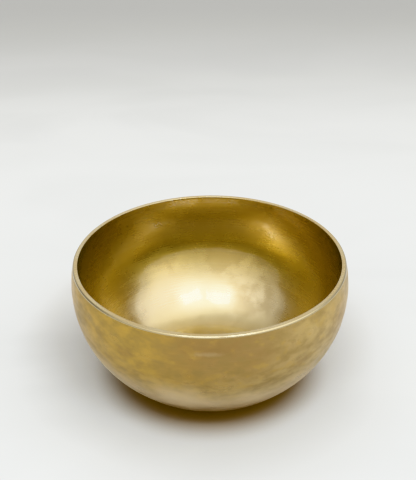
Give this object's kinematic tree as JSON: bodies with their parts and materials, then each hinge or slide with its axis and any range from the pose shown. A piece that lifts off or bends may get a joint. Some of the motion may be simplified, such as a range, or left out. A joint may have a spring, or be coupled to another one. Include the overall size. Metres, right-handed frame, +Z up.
{
  "type": "singing bowl",
  "caption": "Round hammered bell-metal bowl, belly leaning in to a flat filed lip, that rings when its rim is struck or rubbed. It stands on its own flat base.",
  "frame": {"origin": "centre of the flat base, on the surface the bowl stands on", "axes": "+Z up the axis of the bowl, out of its mouth; X and Y are any two directions across it, because the bowl is round"},
  "size_m": [0.1836, 0.1836, 0.088],
  "materials": {
    "bell_metal": "hand-hammered and satin polished, with a faint patina"
  },
  "bodies": {
    "root": {"bowl": "bell_metal"}
  },
  "joints": []
}
